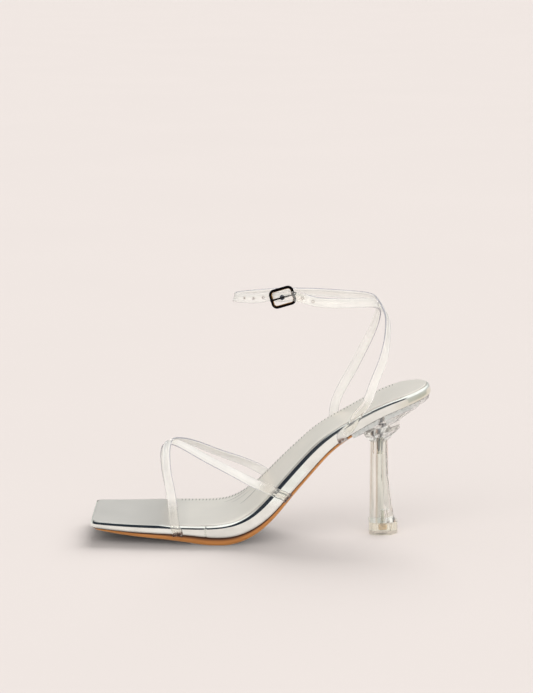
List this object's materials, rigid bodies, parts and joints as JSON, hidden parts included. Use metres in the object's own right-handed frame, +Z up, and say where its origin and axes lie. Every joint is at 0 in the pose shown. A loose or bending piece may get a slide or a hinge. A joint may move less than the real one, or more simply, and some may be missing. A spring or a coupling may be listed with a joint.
{
  "type": "heeled sandal",
  "caption": "Left strappy heeled sandal: clear straps over the toes and round the ankle, silver wrapped footbed, tan outsole and clear flared heel.",
  "frame": {"origin": "middle of the bounding box, on the floor under the shoe", "axes": "+X from toe to heel, +Y to the inner side of the left foot, +Z up"},
  "size_m": [0.2162, 0.0784, 0.1647],
  "materials": {
    "silver_wrap": "mirror silver wrap over a board",
    "silver_insole": "satin silver",
    "tan_outsole": "smooth edge",
    "clear_heel": "clear, polished",
    "clear_cap": "clear, slightly yellow",
    "steel": "plain",
    "brass": "plain",
    "clear_strap": "clear, polished",
    "black_metal": "gloss black"
  },
  "bodies": {
    "root": {"footbed": "silver_wrap", "insole": "silver_insole", "outsole": "tan_outsole", "heel": "clear_heel", "heel_cap": "clear_cap", "heel_screw": "steel", "cap_dowel": "brass", "front_straps": "clear_strap", "ankle_straps": "clear_strap", "buckle_frame": "black_metal", "buckle_prong": "black_metal"}
  },
  "joints": []
}
